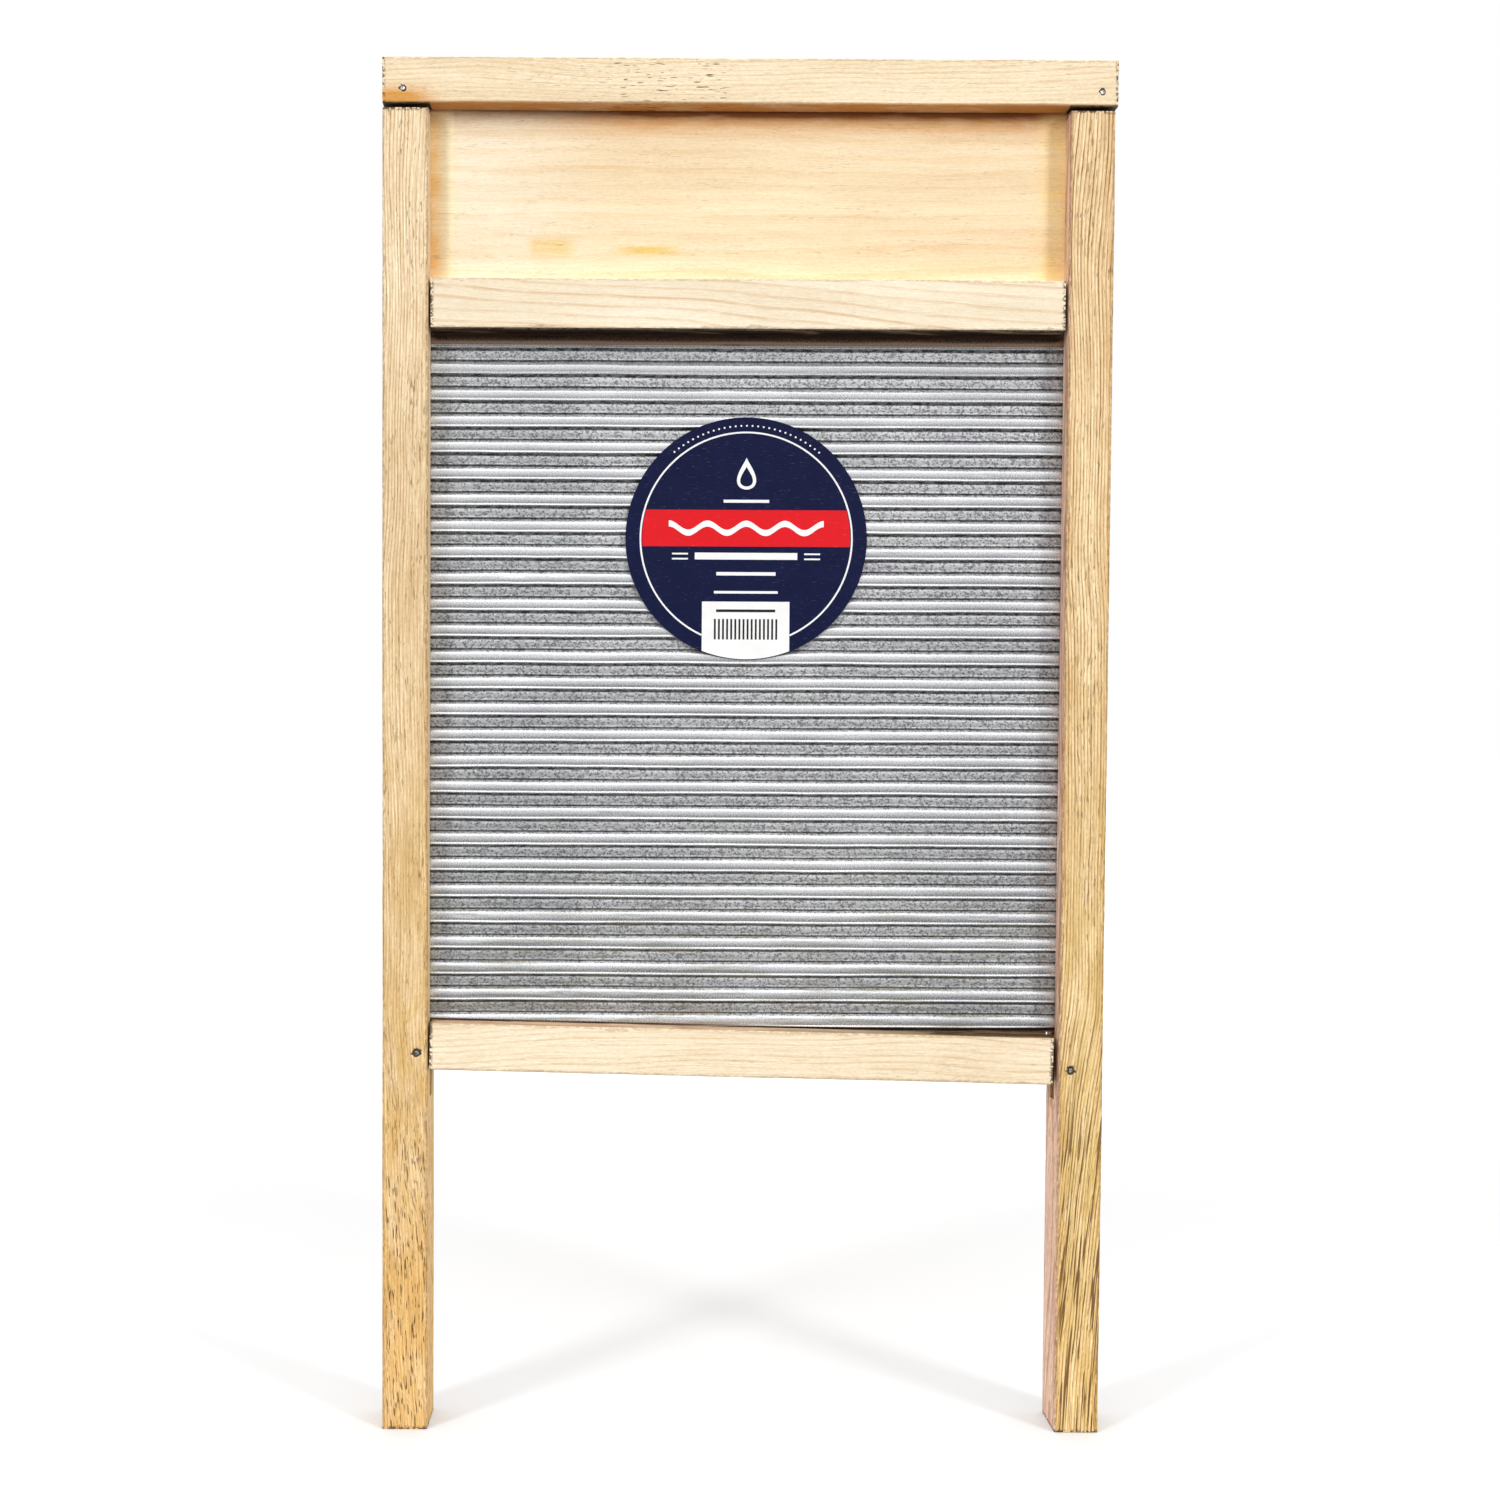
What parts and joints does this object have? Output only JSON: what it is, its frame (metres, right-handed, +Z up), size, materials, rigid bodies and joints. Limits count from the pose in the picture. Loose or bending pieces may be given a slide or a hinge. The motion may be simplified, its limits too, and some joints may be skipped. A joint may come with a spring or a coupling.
{
  "type": "washboard",
  "caption": "Free-standing wooden washboard: a grooved pine frame holds a header panel and a corrugated galvanised rub sheet for scrubbing laundry by hand.",
  "frame": {"origin": "on the floor, under the middle of the frame's width and depth", "axes": "+X to the right of the rub side, +Y from the rub side to the back, +Z up the posts"},
  "size_m": [0.317, 0.025, 0.598],
  "materials": {
    "tan_pine": "planed, unfinished",
    "amber_pine": "planed, unfinished",
    "cream_pine": "planed, unfinished",
    "pale_pine": "planed, unfinished",
    "panel_pine": "planed, unfinished",
    "backing_pine": "rough sawn",
    "galvanised_steel": "hot-dip galvanised, satin",
    "label_paper": "printed, semi-gloss",
    "nail_steel": "bright, slightly tarnished"
  },
  "bodies": {
    "root": {"left_post": "tan_pine", "right_post": "amber_pine", "top_rail": "cream_pine", "middle_rail": "pale_pine", "bottom_rail": "pale_pine", "header_panel": "panel_pine", "rub_sheet": "galvanised_steel", "backing_board_bottom": "backing_pine", "backing_board_middle": "backing_pine", "backing_board_top": "backing_pine", "paper_label": "label_paper", "top_rail_nails": "nail_steel", "bottom_rail_nails": "nail_steel"}
  },
  "joints": []
}
